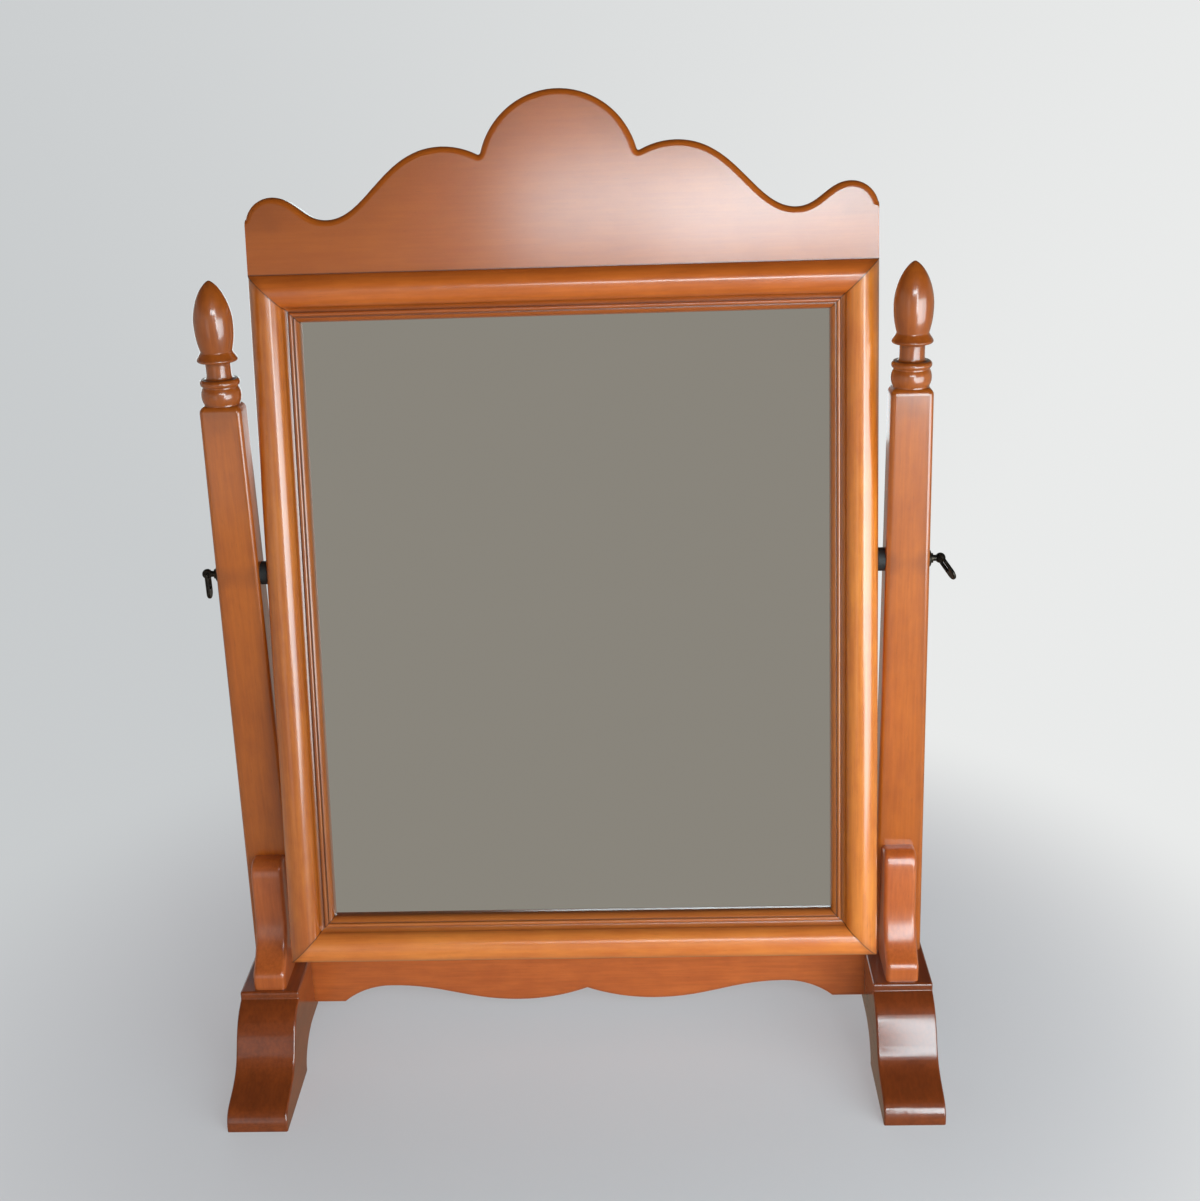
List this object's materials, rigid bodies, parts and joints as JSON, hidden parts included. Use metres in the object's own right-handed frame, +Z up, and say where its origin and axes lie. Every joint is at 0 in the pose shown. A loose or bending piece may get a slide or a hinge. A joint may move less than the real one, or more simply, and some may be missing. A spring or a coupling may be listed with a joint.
{
  "type": "swivel vanity mirror",
  "caption": "Table-top mirror in a moulded wooden frame with a scrolled crest, tilting between turned posts on sledge feet joined by a shaped stretcher.",
  "frame": {"origin": "on the table, midway between the feet and below the pivot axis", "axes": "+Z up, +Y away from the viewer, +X to the viewer's right; the mirror faces -Y and leans back at rest"},
  "size_m": [0.5765, 0.2738, 0.7609],
  "materials": {
    "honey_wood": "gloss lacquer over honey stain",
    "dark_wood": "gloss lacquer over red-brown stain",
    "plain_wood": "bare",
    "silvered_glass": "polished",
    "backing_foam": "matte",
    "hardboard": "smooth brown board",
    "dark_bronze": "darkened antique",
    "bright_brass": "bare",
    "screw_steel": "zinc plated",
    "washer_rubber": "matte"
  },
  "bodies": {
    "stand": {"stretcher": "dark_wood", "stretcher_dowels": "plain_wood", "bracket_dowels": "plain_wood", "left_foot": "dark_wood", "left_post": "honey_wood", "left_finial": "honey_wood", "left_front_bracket": "dark_wood", "left_rear_bracket": "dark_wood", "left_spacer_washer": "washer_rubber", "left_escutcheon": "dark_bronze", "right_foot": "dark_wood", "right_post": "honey_wood", "right_finial": "honey_wood", "right_front_bracket": "dark_wood", "right_rear_bracket": "dark_wood", "right_spacer_washer": "washer_rubber", "right_escutcheon": "dark_bronze"},
    "mirror": {"frame_top_rail": "honey_wood", "frame_bottom_rail": "honey_wood", "frame_left_stile": "honey_wood", "frame_right_stile": "honey_wood", "mitre_splines": "plain_wood", "crest": "honey_wood", "crest_dowels": "plain_wood", "mirror_glass": "silvered_glass", "backing_sheet": "backing_foam", "back_panel": "hardboard", "back_panel_screws": "screw_steel", "left_pivot_insert": "bright_brass", "right_pivot_insert": "bright_brass"},
    "left_screw": {"left_thumb_screw": "dark_bronze"},
    "left_bail": {"left_bail": "dark_bronze"},
    "right_screw": {"right_thumb_screw": "dark_bronze"},
    "right_bail": {"right_bail": "dark_bronze"}
  },
  "joints": [
    {"name": "mirror_tilt", "type": "hinge", "parent": "stand", "child": "mirror", "pos_m": [0, 0, 0.4146], "axis": [1, 0, 0], "range_deg": [-164, 185]},
    {"name": "left_screw_turn", "type": "hinge", "parent": "stand", "child": "left_screw", "pos_m": [-0.28102, 0, 0.4146], "axis": [-1, 0, 0], "range_deg": [0, 270]},
    {"name": "right_screw_turn", "type": "hinge", "parent": "stand", "child": "right_screw", "pos_m": [0.28102, 0, 0.4146], "axis": [1, 0, 0], "range_deg": [0, 270]},
    {"name": "left_bail_swing", "type": "hinge", "parent": "left_screw", "child": "left_bail", "pos_m": [-0.28102, 0, 0.4146], "axis": [0, 1, 0], "range_deg": [-20, 200]},
    {"name": "right_bail_swing", "type": "hinge", "parent": "right_screw", "child": "right_bail", "pos_m": [0.28102, 0, 0.4146], "axis": [0, -0.7431, 0.6691], "range_deg": [-49, 171]}
  ]
}
